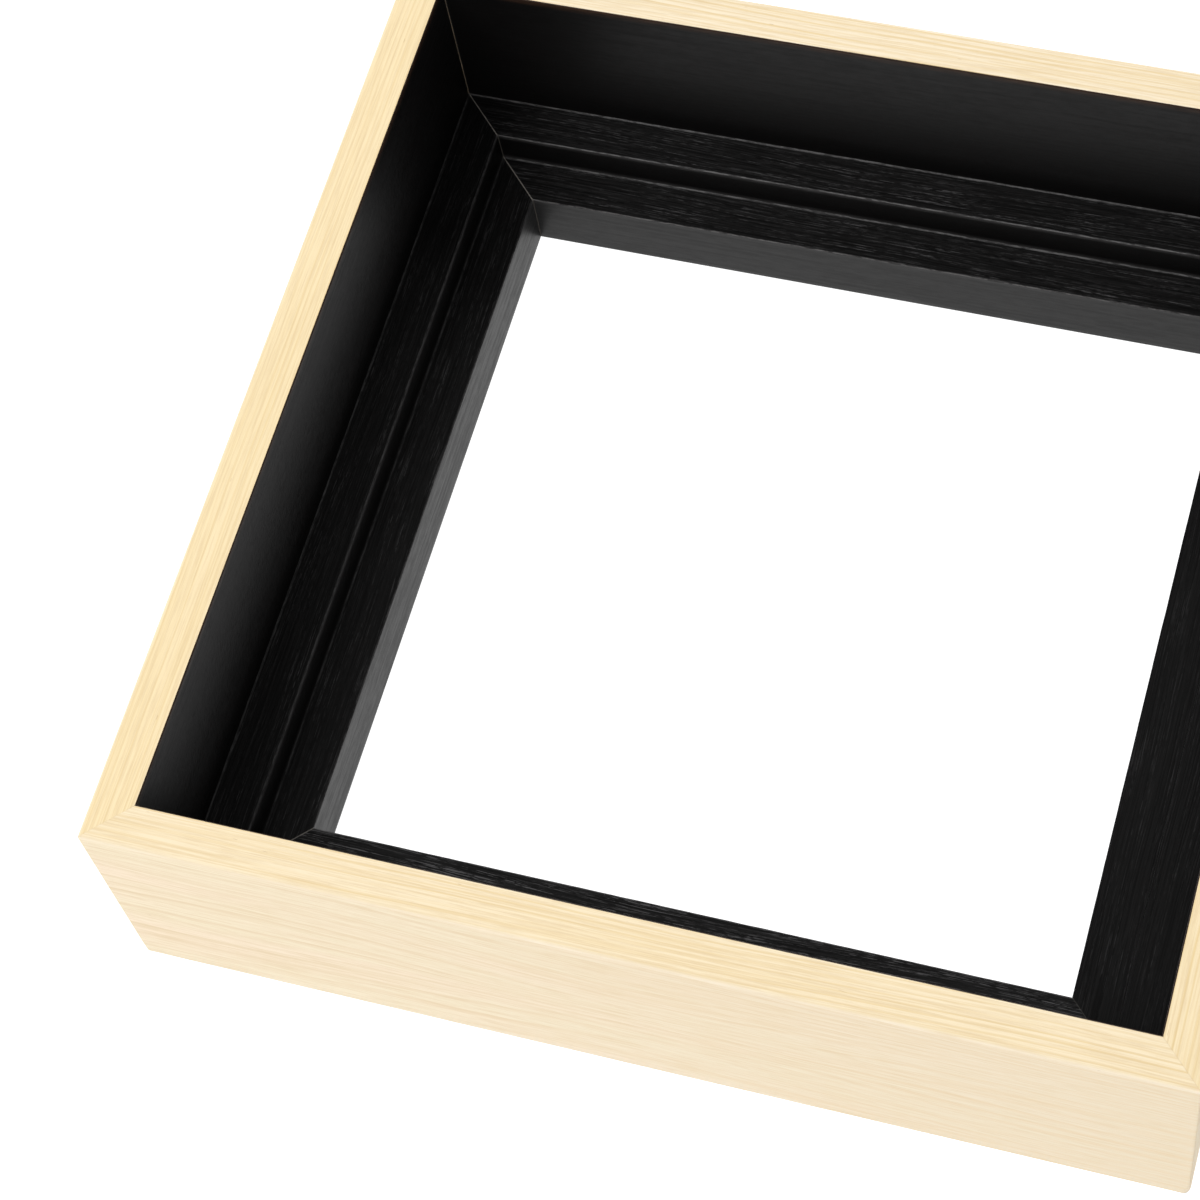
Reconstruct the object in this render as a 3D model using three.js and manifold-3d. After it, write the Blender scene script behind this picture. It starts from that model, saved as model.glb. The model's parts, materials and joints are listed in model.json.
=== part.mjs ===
// A square, deep shadow box frame with an open back. It lies on its back: +Z comes out of the
// natural wood face, +Y points to the edge that is up when it hangs, and the origin is at the
// middle of the plane that its wall bumpers stand on. Units are millimetres.
//
// Each side is a tall wall board with a two-step ledge strip glued along its inner foot. The four
// sides meet in mitres, held by v-nails pressed in from the back. Two strap hangers with D-rings
// and four rubber bumpers are fastened to the back.
import * as THREE from "three";
import { mergeVertices } from "three/addons/utils/BufferGeometryUtils.js";
import Module from "manifold-3d";

const wasm = await Module();
wasm.setup();

// Frame
const OUTER = 228.6; // outside of the square: a 203.2 panel, 3.2 of air and a 9.5 face each side
const FACE_WIDTH = 9.5;
const DEPTH = 62; // of a wall board, front face to back face
const LEDGE_PROUD = 1.3; // how far the ledge strips stand proud of the wall boards at the back
const WELL_DEPTH = 39.8; // front face to the upper tread: a 38 deep panel sits just below the face
const STEP_DROP = 7.8; // upper tread to lower tread
const WALL_DRAFT = 0.5; // how much further in the wall's foot stands than its top
const UPPER_TREAD_EDGE = 20.3; // from the outside of the frame
const LOWER_TREAD_EDGE = 31.2;
const RISER_DRAFT = 0.5;
const FRONT_ROUND = 0.8;
const BACK_ROUND = 1.6;
const GLUE_LINE = 0.2;
const MITRE_LINE = 0.2;

// V-nails
const NAIL_OFFSETS = { outer: 4.5, middle: 15, inner: 24.5 }; // apex, from the frame's outside
const NAIL_LEG = 6.5;
const NAIL_THICKNESS = 0.6;
const NAIL_HEIGHT = 10;
const CLEARANCE = 0.3;

// Hangers, at a third of the height from the top, on the back of the side ledges
const HANGER_INSET = 20.7;
const HANGER_DROP = OUTER / 3;
const STRAP_WIDTH = 10;
const STRAP_LENGTH = 15;
const STRAP_THICKNESS = 0.8;
const EYE_RADIUS = 1.8;
const EYE_CURL = THREE.MathUtils.degToRad(250);
const WIRE_RADIUS = 0.8;
const RING_BAR = 10.8;
const RING_CORNER = 1.8;
const RING_REACH = 10;
const RING_DROOP = THREE.MathUtils.degToRad(10.5);
const SCREW_FROM_EYE = 8.5;
const SCREW = { head: 2.7, headHeight: 1.5, major: 1.3, minor: 1, length: 9, pitch: 0.9, tip: 1.6 };
const RECESS = { arm: 3, width: 0.6, depth: 0.9 };

// Bumpers
const BUMPER_HEIGHT = 4.5;
const BUMPER_RADIUS = 6;
const BUMPER_FOOT = 4;
const BUMPER_ALONG = 44; // from the frame's outside, along the top and bottom rails
const BUMPER_INSET = 20.7;

// Worked out
const HALF = OUTER / 2;
const BACK_Z = BUMPER_HEIGHT; // the back of the ledge strips, where the hardware is
const WALL_BACK_Z = BACK_Z + LEDGE_PROUD;
const FRONT_Z = WALL_BACK_Z + DEPTH;
const UPPER_TREAD_Z = FRONT_Z - WELL_DEPTH;
const LOWER_TREAD_Z = UPPER_TREAD_Z - STEP_DROP;
const WALL_FOOT = FACE_WIDTH + WALL_DRAFT;
const SIDES = ["bottom", "right", "top", "left"]; // each is the one before turned a quarter turn
const CORNERS = ["bottom_left", "bottom_right", "top_right", "top_left"];

// Looks
const natural = { color: 0xf9e3bd, roughness: 0.6, metalness: 0 };
const black = { color: 0x1c1b1c, roughness: 0.55, metalness: 0 };
const steel = { color: 0x9a9ca0, roughness: 0.4, metalness: 1 };
const nickel = { color: 0xc9c9c6, roughness: 0.3, metalness: 1 };
const rubber = { color: 0x2b2b2c, roughness: 0.9, metalness: 0 };

function mesh(name, geometry, look) {
  const made = new THREE.Mesh(geometry, new THREE.MeshStandardMaterial(look));
  made.name = name;
  return made;
}

function solidOf(geometry) {
  const bare = geometry.clone();
  bare.deleteAttribute("normal");
  bare.deleteAttribute("uv");
  const merged = mergeVertices(bare, 1e-4);
  return new wasm.Manifold(
    new wasm.Mesh({
      numProp: 3,
      vertProperties: merged.attributes.position.array,
      triVerts: new Uint32Array(merged.index.array),
    }),
  );
}

function geometryOf(solid) {
  const { vertProperties, triVerts } = solid.getMesh();
  const geometry = new THREE.BufferGeometry();
  geometry.setAttribute("position", new THREE.BufferAttribute(vertProperties, 3));
  geometry.setIndex(new THREE.BufferAttribute(triVerts, 1));
  return geometry;
}

function boxBetween(low, high) {
  const size = high.map((h, i) => h - low[i]);
  const middle = high.map((h, i) => (h + low[i]) / 2);
  return new THREE.BoxGeometry(...size).translate(...middle);
}

function cylinderAlongZ(radius, low, high, segments = 24) {
  return new THREE.CylinderGeometry(radius, radius, high - low, segments)
    .rotateX(Math.PI / 2)
    .translate(0, 0, (low + high) / 2);
}

// A profile drawn in (y, z), extruded along +X.
function extrudeAlongX(profile, length, curveSegments = 4) {
  const geometry = new THREE.ExtrudeGeometry(profile, {
    depth: length,
    bevelEnabled: false,
    curveSegments,
  });
  const [x, y, z] = [new THREE.Vector3(1, 0, 0), new THREE.Vector3(0, 1, 0), new THREE.Vector3(0, 0, 1)];
  return geometry.applyMatrix4(new THREE.Matrix4().makeBasis(y, z, x));
}

// The bottom rail of a profile whose first coordinate is the distance from the frame's outside.
// Both ends are mitred at 45 degrees.
function mitredRail(profile) {
  const geometry = extrudeAlongX(profile, 1);
  const position = geometry.attributes.position;
  for (let i = 0; i < position.count; i++) {
    const inset = position.getY(i);
    const reach = HALF - inset - MITRE_LINE / 2;
    position.setX(i, (2 * position.getX(i) - 1) * reach);
    position.setY(i, inset - HALF);
  }
  return geometry;
}

function wallProfile() {
  const shape = new THREE.Shape();
  shape.moveTo(BACK_ROUND, WALL_BACK_Z);
  shape.lineTo(WALL_FOOT, WALL_BACK_Z);
  shape.lineTo(WALL_FOOT, UPPER_TREAD_Z);
  shape.lineTo(FACE_WIDTH, FRONT_Z);
  shape.lineTo(FRONT_ROUND, FRONT_Z);
  shape.absarc(FRONT_ROUND, FRONT_Z - FRONT_ROUND, FRONT_ROUND, Math.PI / 2, Math.PI);
  shape.lineTo(0, WALL_BACK_Z + BACK_ROUND);
  shape.absarc(BACK_ROUND, WALL_BACK_Z + BACK_ROUND, BACK_ROUND, Math.PI, 1.5 * Math.PI);
  return shape;
}

function ledgeProfile() {
  const foot = WALL_FOOT + GLUE_LINE;
  const shape = new THREE.Shape();
  shape.moveTo(foot, BACK_Z);
  shape.lineTo(LOWER_TREAD_EDGE, BACK_Z);
  shape.lineTo(LOWER_TREAD_EDGE, LOWER_TREAD_Z);
  shape.lineTo(UPPER_TREAD_EDGE + RISER_DRAFT, LOWER_TREAD_Z);
  shape.lineTo(UPPER_TREAD_EDGE, UPPER_TREAD_Z);
  shape.lineTo(foot, UPPER_TREAD_Z);
  shape.closePath();
  return shape;
}

// The face that a v-nail is driven into: the wall's back, or the ledge's.
function nailBack(offset) {
  return offset < WALL_FOOT ? WALL_BACK_Z : BACK_Z;
}

// The pockets that a bottom rail shares with the v-nails at its two ends.
function nailPockets(offsets) {
  return offsets.flatMap((offset) =>
    [-1, 1].map((end) => {
      const back = nailBack(offset);
      const apex = HALF - offset + CLEARANCE;
      const tip = HALF - offset - NAIL_LEG - CLEARANCE;
      const [left, right] = [end * apex, end * tip].sort((a, b) => a - b);
      const outer = offset - HALF - CLEARANCE;
      const inner = offset - HALF + NAIL_THICKNESS + CLEARANCE;
      return boxBetween([left, outer, back - 1], [right, inner, back + NAIL_HEIGHT + CLEARANCE]);
    }),
  );
}

// The pilot hole for a hanger's screw, in a bottom rail. end is the side of its middle it is on.
function screwPilot(end) {
  const along = HALF - HANGER_DROP - SCREW_FROM_EYE;
  return cylinderAlongZ(
    SCREW.major + CLEARANCE,
    BACK_Z - 1,
    BACK_Z + SCREW.length + CLEARANCE,
  ).translate(end * along, HANGER_INSET - HALF, 0);
}

function cutFrom(geometry, tools) {
  const cut = tools.reduce((left, tool) => left.subtract(solidOf(tool)), solidOf(geometry));
  return geometryOf(cut);
}

function wallRail(side) {
  const rail = cutFrom(mitredRail(wallProfile()), nailPockets([NAIL_OFFSETS.outer]));
  return mesh(`${side}_wall_rail`, rail, natural);
}

function stepLedge(side) {
  const tools = nailPockets([NAIL_OFFSETS.middle, NAIL_OFFSETS.inner]);
  if (side === "right") tools.push(screwPilot(1));
  if (side === "left") tools.push(screwPilot(-1));
  return mesh(`${side}_step_ledge`, cutFrom(mitredRail(ledgeProfile()), tools), black);
}

// A v-nail at the bottom left corner, its legs lying along the two rails.
function vNail(corner, place, offset) {
  const shape = new THREE.Shape();
  shape.moveTo(0, 0);
  shape.lineTo(NAIL_LEG, 0);
  shape.lineTo(NAIL_LEG, NAIL_THICKNESS);
  shape.lineTo(NAIL_THICKNESS, NAIL_THICKNESS);
  shape.lineTo(NAIL_THICKNESS, NAIL_LEG);
  shape.lineTo(0, NAIL_LEG);
  shape.closePath();
  const geometry = new THREE.ExtrudeGeometry(shape, { depth: NAIL_HEIGHT, bevelEnabled: false });
  const nail = mesh(`v_nail_${corner}_${place}`, geometry, steel);
  nail.position.set(offset - HALF, offset - HALF, nailBack(offset));
  return nail;
}

// The strap lies on the back face at z 0 with its eye curled round the ring's bar. The bar's axis
// is the X axis, EYE_RADIUS below the back face.
function hangerStrap(name) {
  const top = Math.PI / 2;
  const side = new THREE.Shape();
  side.moveTo(-STRAP_LENGTH, EYE_RADIUS);
  side.lineTo(-STRAP_LENGTH, EYE_RADIUS - STRAP_THICKNESS);
  side.lineTo(0, EYE_RADIUS - STRAP_THICKNESS);
  side.absarc(0, 0, EYE_RADIUS - STRAP_THICKNESS, top, top - EYE_CURL, true);
  side.absarc(0, 0, EYE_RADIUS, top - EYE_CURL, top, false);
  side.closePath();
  const plan = new THREE.Shape();
  const [halfWidth, end] = [STRAP_WIDTH / 2, -STRAP_LENGTH + STRAP_WIDTH / 2];
  plan.moveTo(halfWidth, 2 * EYE_RADIUS);
  plan.lineTo(-halfWidth, 2 * EYE_RADIUS);
  plan.lineTo(-halfWidth, end);
  plan.absarc(0, end, halfWidth, Math.PI, 2 * Math.PI);
  plan.closePath();
  const planSolid = new THREE.ExtrudeGeometry(plan, {
    depth: 6 * EYE_RADIUS,
    bevelEnabled: false,
    curveSegments: 16,
  }).translate(0, 0, -3 * EYE_RADIUS);
  const sideSolid = extrudeAlongX(side, STRAP_WIDTH + 2, 20).translate(-halfWidth - 1, 0, 0);
  const hole = cylinderAlongZ(SCREW.major + CLEARANCE, -2 * EYE_RADIUS, 2 * EYE_RADIUS)
    .translate(0, -SCREW_FROM_EYE, 0);
  const strap = solidOf(sideSolid).intersect(solidOf(planSolid)).subtract(solidOf(hole));
  return mesh(name, geometryOf(strap), nickel);
}

// The centre line of a D-ring: its straight bar on the X axis, its bow towards +Y.
class RingLine extends THREE.Curve {
  constructor() {
    super();
    const [bar, corner] = [RING_BAR / 2, RING_CORNER];
    this.line = new THREE.Path();
    this.line.moveTo(-bar, 0);
    this.line.lineTo(bar, 0);
    this.line.absarc(bar, corner, corner, -Math.PI / 2, 0);
    this.line.absellipse(0, corner, bar + corner, RING_REACH - corner, 0, Math.PI);
    this.line.absarc(-bar, corner, corner, Math.PI, 1.5 * Math.PI);
  }

  getPoint(t, target = new THREE.Vector3()) {
    const { x, y } = this.line.getPoint(t);
    return target.set(x, y, 0);
  }
}

function hangerRing(name) {
  const ring = mesh(name, new THREE.TubeGeometry(new RingLine(), 48, WIRE_RADIUS, 10, true), nickel);
  ring.rotation.x = -RING_DROOP;
  return ring;
}

// A pan head screw along +Z, its head below z 0. Its thread is a stack of ridges.
function screw(name) {
  const { head, headHeight, major, minor, length, pitch, tip } = SCREW;
  const outline = [
    [0, -headHeight],
    [head * 0.62, -headHeight],
    [head * 0.9, -headHeight * 0.7],
    [head, -headHeight * 0.3],
    [head, 0],
    [minor, 0],
  ];
  for (let z = pitch; z + pitch < length - tip; z += pitch) {
    outline.push([minor, z], [major, z + pitch * 0.35], [minor, z + pitch * 0.7]);
  }
  outline.push([minor, length - tip], [0, length]);
  const turned = new THREE.LatheGeometry(outline.map(([r, z]) => new THREE.Vector2(r, z)), 18);
  const { arm, width, depth } = RECESS;
  const slots = [
    [arm / 2, width / 2],
    [width / 2, arm / 2],
  ].map(([x, y]) => boxBetween([-x, -y, -headHeight - 1], [x, y, depth - headHeight]));
  return mesh(name, cutFrom(turned.rotateX(Math.PI / 2), slots), steel);
}

// side is -1 for the left hanger and 1 for the right one.
function hanger(name, side) {
  const group = new THREE.Group();
  group.position.set(side * (HALF - HANGER_INSET), HALF - HANGER_DROP, BACK_Z - EYE_RADIUS);
  const fastener = screw(`${name}_hanger_screw`);
  fastener.position.set(0, -SCREW_FROM_EYE, EYE_RADIUS - STRAP_THICKNESS);
  group.add(hangerStrap(`${name}_hanger_strap`), hangerRing(`${name}_hanger_ring`), fastener);
  return group;
}

// A rubber bumper, its foot on z 0, at the bottom left corner.
function bumper(corner) {
  const outline = [
    [0, 0],
    [BUMPER_FOOT, 0],
    [BUMPER_RADIUS * 0.83, BUMPER_HEIGHT * 0.16],
    [BUMPER_RADIUS * 0.96, BUMPER_HEIGHT * 0.5],
    [BUMPER_RADIUS, BUMPER_HEIGHT * 0.8],
    [BUMPER_RADIUS, BUMPER_HEIGHT],
    [0, BUMPER_HEIGHT],
  ];
  const turned = new THREE.LatheGeometry(outline.map(([r, z]) => new THREE.Vector2(r, z)), 32);
  return mesh(`bumper_${corner}`, turned.rotateX(Math.PI / 2), rubber);
}

const frame = new THREE.Group();

SIDES.forEach((side, quarter) => {
  const turned = new THREE.Group();
  turned.rotation.z = (quarter * Math.PI) / 2;
  turned.add(wallRail(side), stepLedge(side));
  frame.add(turned);
});

CORNERS.forEach((corner, quarter) => {
  const turned = new THREE.Group();
  turned.rotation.z = (quarter * Math.PI) / 2;
  for (const [place, offset] of Object.entries(NAIL_OFFSETS)) {
    turned.add(vNail(corner, place, offset));
  }
  frame.add(turned);

  const pad = bumper(corner);
  const [up, right] = [corner.startsWith("top") ? 1 : -1, corner.endsWith("right") ? 1 : -1];
  pad.position.set(right * (HALF - BUMPER_ALONG), up * (HALF - BUMPER_INSET), 0);
  frame.add(pad);
});

frame.add(hanger("left", -1), hanger("right", 1));

export default frame;
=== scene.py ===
"""The looks of a square, deep shadow box frame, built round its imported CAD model.

The frame lies on its back on a white table. Each wall board and ledge strip is swept from its
profile and mitred, with eased arrises, paint beads and raised grain. Profiles are drawn in
millimetres as (inset, height): the distance in from the frame's outside, and the height above
the table. A rail is made as the bottom one, along X, and turned into its place.
"""

import json
import math

import bmesh
import bpy
import numpy as np
from mathutils import Matrix, Vector


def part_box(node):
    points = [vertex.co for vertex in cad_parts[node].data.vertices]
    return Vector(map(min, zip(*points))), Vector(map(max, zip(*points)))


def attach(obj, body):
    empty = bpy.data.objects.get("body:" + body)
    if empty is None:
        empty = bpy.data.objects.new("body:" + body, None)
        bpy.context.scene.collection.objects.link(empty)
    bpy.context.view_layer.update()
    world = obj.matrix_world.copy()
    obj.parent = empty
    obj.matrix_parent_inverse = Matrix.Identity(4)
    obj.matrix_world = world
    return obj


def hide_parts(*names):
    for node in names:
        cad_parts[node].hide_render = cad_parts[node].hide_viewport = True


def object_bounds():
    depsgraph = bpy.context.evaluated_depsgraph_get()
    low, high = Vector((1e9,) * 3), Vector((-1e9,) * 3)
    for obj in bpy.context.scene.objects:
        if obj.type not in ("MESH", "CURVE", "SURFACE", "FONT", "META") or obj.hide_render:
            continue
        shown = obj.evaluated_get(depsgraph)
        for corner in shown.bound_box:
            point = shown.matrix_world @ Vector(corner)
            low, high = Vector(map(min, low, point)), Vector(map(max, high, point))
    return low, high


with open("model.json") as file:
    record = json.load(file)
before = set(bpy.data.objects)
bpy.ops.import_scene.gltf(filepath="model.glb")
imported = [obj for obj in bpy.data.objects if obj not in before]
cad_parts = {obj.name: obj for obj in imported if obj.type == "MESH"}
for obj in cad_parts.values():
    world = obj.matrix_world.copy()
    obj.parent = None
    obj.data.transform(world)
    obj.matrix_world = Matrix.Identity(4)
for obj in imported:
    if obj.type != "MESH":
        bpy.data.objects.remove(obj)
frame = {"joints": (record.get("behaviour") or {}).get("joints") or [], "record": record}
cad_low, cad_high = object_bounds()

MM = 0.001
BODY = "frame"
SIDES = ("bottom", "right", "top", "left")  # each is the one before turned a quarter turn
CORNERS = ("bottom_left", "bottom_right", "top_right", "top_left")


def mount_height(name):
    return next(m["pos_m"][2] for m in frame["record"]["mounts"] if m["name"] == name) / MM


# Taken from the frame, in millimetres
wall_low, wall_high = (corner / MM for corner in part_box("bottom_wall_rail"))
ledge_low, ledge_high = (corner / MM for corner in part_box("bottom_step_ledge"))
HALF = cad_high.x / MM
BACK = wall_low.z
LEDGE_BACK = ledge_low.z
FRONT = wall_high.z
WALL_FOOT = HALF + wall_high.y
LOWER_EDGE = HALF + ledge_high.y
UPPER_TREAD = ledge_high.z
LOWER_TREAD = mount_height("lower_ledge")

# Profile
FACE_WIDTH = 9.5
UPPER_EDGE = 20.3
RISER_FOOT = 20.8
FRONT_ROUND = 0.6
BACK_ROUND = 1.6
PAINTED_ROUND = 0.3
PAINT_OVERLAP = 0.15  # how far the inner wall's stain runs on to the face
PAINT_BEAD = 0.24
TREAD_ROUND = 0.17
LIP_BACK_ROUND = 0.5
JOINT_GAP = 0.01
SEAM_CHAMFER = 0.015
CORNER_ROUND = 0.5
CORNER_BLEND = 6.0  # how far up from the back the rounder corners reach

# What differs from side to side, in the order of SIDES
PITHS = ((230, -45), (110, 84), (150, -8), (120, 90))  # of each board's tree, (inset, height)
TONES = (0.65, 0.25, 1.0, 0.0)  # from yellow to pale
RAISED_GRAIN_AND_GLINT = (3.0, 0.3, 1.0, 0.5)  # how rough the treads are, and how strongly their raised fibres carry a painted highlight
ARRIS_WEAR_AND_GLINT = (1.0, 0.0, 1.2, 0.4)  # how far the ledge's arrises are rubbed, and how strongly they carry a painted highlight
SHADED_ENDS = ((0.0, 1.0), (0.9, 0.2), (0.1, 0.6), (0.3, 0.0))  # how much painted shade darkens each board's outer side at its start and at its end

# What differs from corner to corner, in the order of CORNERS
FILLED_SEAMS = (0.6, 0.1, 0.8, 1.0)  # how well the joint is filled
BACK_CORNER_ROUNDS = (0.8, 2.2, 1.4, 1.2)

# Grain
RING_SPACING = 1.1
TREAD_RELIEF = 0.07
ARRIS_WANDER = 0.05


# ---------------------------------------------------------------- noise and profiles


class ValueNoise:
    """Smooth noise from -1 to 1 at any array of points."""

    SIZE = 64

    def __init__(self, seed):
        shape = (self.SIZE,) * 3
        self.lattice = np.random.RandomState(seed).uniform(-1, 1, shape)

    def __call__(self, x, y=0.0, z=0.0):
        x, y, z = np.broadcast_arrays(*(np.asarray(c, float) for c in (x, y, z)))
        point = np.stack([x, y, z], -1)
        base = np.floor(point).astype(int)
        part = point - base
        part = part * part * (3 - 2 * part)
        total = np.zeros(x.shape)
        for corner in np.ndindex(2, 2, 2):
            i, j, k = ((base[..., a] + corner[a]) % self.SIZE for a in range(3))
            weight = np.ones(x.shape)
            for a in range(3):
                weight = weight * (part[..., a] if corner[a] else 1 - part[..., a])
            total += weight * self.lattice[i, j, k]
        return total


def arc(centre, radius, start, end, steps):
    """Points on an arc. Angles are in degrees, anticlockwise in (inset, height)."""
    angles = np.radians(np.linspace(start, end, steps + 1))
    return [(centre[0] + radius * math.cos(a), centre[1] + radius * math.sin(a)) for a in angles]


class Profile:
    """A closed outline: points, how far each is rubbed and given a painted highlight, and the finish
    of the stretch after each.
    """

    def __init__(self):
        self.points = []
        self.wear_and_glint = []
        self.finish = []

    def add(self, points, finish, wear_and_glint=0.0, spacing=2.0):
        """Adds points, with steps of about the spacing on the way to the first."""
        if self.points:
            start, end = np.array(self.points[-1]), np.array(points[0])
            steps = max(1, round(np.linalg.norm(end - start) / spacing))
            for i in range(1, steps):
                self.points.append(tuple(start + (end - start) * i / steps))
                self.wear_and_glint.append(0.0)
                self.finish.append(self.finish[-1])
        for point in points:
            self.points.append(tuple(point))
            self.wear_and_glint.append(wear_and_glint)
            self.finish.append(finish)

    def then(self, finish):
        """Changes the finish of the stretch that comes next."""
        self.finish[-1] = finish


def wall_profile():
    """The wall board: natural outside, on the face and behind, black on the inner wall."""
    slope = math.degrees(math.atan2(WALL_FOOT - FACE_WIDTH, FRONT - UPPER_TREAD))
    profile = Profile()
    profile.add(arc((BACK_ROUND, BACK + BACK_ROUND), BACK_ROUND, 270, 180, 6), "natural")
    profile.add(arc((FRONT_ROUND, FRONT - FRONT_ROUND), FRONT_ROUND, 180, 90, 6), "natural")
    inner = (FACE_WIDTH - PAINT_OVERLAP, FRONT - PAINTED_ROUND)
    profile.add(arc(inner, PAINTED_ROUND, 90, slope, 5), "wall", wear_and_glint=1, spacing=1)
    profile.add([(WALL_FOOT, UPPER_TREAD)], "natural", spacing=1.6)
    profile.add([(WALL_FOOT, BACK)], "natural", spacing=6)
    profile.add([(BACK_ROUND + 0.1, BACK)], "natural")
    return profile


def ledge_profile():
    """The ledge strip: two rough treads with a smooth riser, and a smooth side to the opening."""
    foot = WALL_FOOT + JOINT_GAP
    tread = 0.25
    profile = Profile()
    profile.add([(foot, LEDGE_BACK)], "behind")
    # painted highlight: the beads and tread edges below are marked to be painted lighter, partly as
    # rubbing
    bead = (foot + PAINT_BEAD, UPPER_TREAD + PAINT_BEAD)
    profile.add(arc(bead, PAINT_BEAD, 180, 270, 3), "tread", wear_and_glint=0.7, spacing=4)
    edge = (UPPER_EDGE - TREAD_ROUND, UPPER_TREAD - TREAD_ROUND)
    profile.add(arc(edge, TREAD_ROUND, 90, 0, 4), "tread", wear_and_glint=1, spacing=tread)
    profile.then("riser")
    bead = (RISER_FOOT + TREAD_ROUND, LOWER_TREAD + TREAD_ROUND)
    profile.add(arc(bead, TREAD_ROUND, 180, 270, 3), "tread", wear_and_glint=0.7, spacing=1)
    edge = (LOWER_EDGE - TREAD_ROUND, LOWER_TREAD - TREAD_ROUND)
    profile.add(arc(edge, TREAD_ROUND, 90, 0, 4), "tread", wear_and_glint=0.8, spacing=tread)
    profile.then("lip")
    corner = (LOWER_EDGE - LIP_BACK_ROUND, LEDGE_BACK + LIP_BACK_ROUND)
    profile.add(arc(corner, LIP_BACK_ROUND, 0, -90, 4), "behind", spacing=1.2)
    profile.add([(foot + 0.1, LEDGE_BACK)], "behind")
    return profile


# ---------------------------------------------------------------- rails


def outward_normals(points):
    """Unit normals at the points of a closed clockwise outline."""
    along = np.roll(points, -1, 0) - np.roll(points, 1, 0)
    normals = np.stack([-along[:, 1], along[:, 0]], 1)
    return normals / np.linalg.norm(normals, axis=1)[:, None]


# How far the cross-sections nearest a mitre stand from it, and where the even ones begin
END_STATIONS = (0, 0.07, 0.16, 0.3, 0.5, 0.75, 1.05, 1.4, 1.8)
FIRST_EVEN_STATION = 2.3


def stations(reach):
    """Where the cross-sections of a rail stand along it, for each point of its outline. reach is
    how far that point's mitre is from the middle."""
    even = np.linspace(-1, 1, 2 * math.ceil(HALF) - 1) * (reach - FIRST_EVEN_STATION)[:, None]
    start = [-reach + e for e in END_STATIONS]
    end = [reach - e for e in reversed(END_STATIONS)]
    return np.array(start + list(even.T) + end)


def at_nearer_corner(values, side, along):
    """Of one value for each corner, the value at the end of the side that is nearer."""
    return np.where(along < 0, values[side], values[(side + 1) % 4])


def ease_corners(along, inset, height, side):
    """Pulls the points beyond the frame's rounded outer corners back on to the round."""
    up = np.clip((height - BACK) / CORNER_BLEND, 0, 1)
    back_round = at_nearer_corner(BACK_CORNER_ROUNDS, side, along)
    ease = CORNER_ROUND + (back_round - CORNER_ROUND) * (1 - up)
    beside = HALF - np.abs(along)
    gap = np.hypot(ease - beside, ease - inset)
    outside = (beside < ease) & (inset < ease) & (gap > ease)
    share = np.where(outside, ease / np.maximum(gap, 1e-9), 1)
    along = np.where(outside, np.sign(along) * (HALF - ease + (ease - beside) * share), along)
    inset = np.where(outside, ease - (ease - inset) * share, inset)
    return along, inset


def ring_phase(along, inset, height, side):
    """How many growth rings lie between a point and the pith of the tree it came from."""
    noise = ValueNoise(40 + side)
    pith_inset, pith_height = PITHS[side]
    wander = 1.8 * noise(along / 80, inset / 40, height / 24)
    wander += 0.35 * noise(along / 30 + 9, inset / 14, height / 9)
    radius = np.hypot(inset - pith_inset, height - pith_height) + wander
    return radius / RING_SPACING + 0.9 * noise(radius / 4, 17.5)


def add_attribute(mesh, name, values):
    kind = "FLOAT_VECTOR" if values.ndim == 2 else "FLOAT"
    key = "vector" if values.ndim == 2 else "value"
    made = mesh.attributes.new(name, kind, "POINT")
    made.data.foreach_set(key, values.astype(np.float32).ravel())


def mark_points(mesh, side, along, inset, height, wear_and_glint):
    """Gives each point of a rail the values that its materials read."""
    shift = np.array([300.0 * side, 40.0 * side, 70.0 * side])
    place = np.stack([along, inset, height], -1).reshape(-1, 3)
    add_attribute(mesh, "grain", place + shift)
    add_attribute(mesh, "ring", ring_phase(along, inset, height, side).ravel())
    seam = (HALF - inset - np.abs(along)) / math.sqrt(2)
    add_attribute(mesh, "seam", np.minimum(seam, 3).ravel())
    add_attribute(mesh, "wear_and_glint", np.broadcast_to(wear_and_glint, along.shape).ravel())
    add_attribute(mesh, "inset", inset.ravel())
    add_attribute(mesh, "height", (height - BACK).ravel())
    add_attribute(mesh, "tone", np.full(along.size, TONES[side]))
    # painted highlight: how strongly this side's raised fibres are painted pale
    add_attribute(mesh, "raised", np.full(along.size, RAISED_GRAIN_AND_GLINT[side]))
    # painted highlight: how strongly this side's arrises are painted lighter, partly as rubbing
    add_attribute(mesh, "bare_and_glint", np.full(along.size, ARRIS_WEAR_AND_GLINT[side]))
    add_attribute(mesh, "filled", at_nearer_corner(FILLED_SEAMS, side, along).ravel())
    # painted shade: the outer side is painted darker towards one end of the board
    shade_start, shade_end = SHADED_ENDS[side]
    toward_end = (along / HALF + 1) / 2
    add_attribute(mesh, "end_shade", (shade_start + (shade_end - shade_start) * toward_end).ravel())


def mark_sharp_edges(mesh, limit=math.radians(38)):
    """Smooth shading, with a crease wherever two faces meet at more than the limit."""
    work = bmesh.new()
    work.from_mesh(mesh)
    bmesh.ops.recalc_face_normals(work, faces=work.faces)
    for face in work.faces:
        face.smooth = True
    for edge in work.edges:
        edge.smooth = edge.is_manifold and edge.calc_face_angle(0) < limit
    work.to_mesh(mesh)
    work.free()


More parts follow.
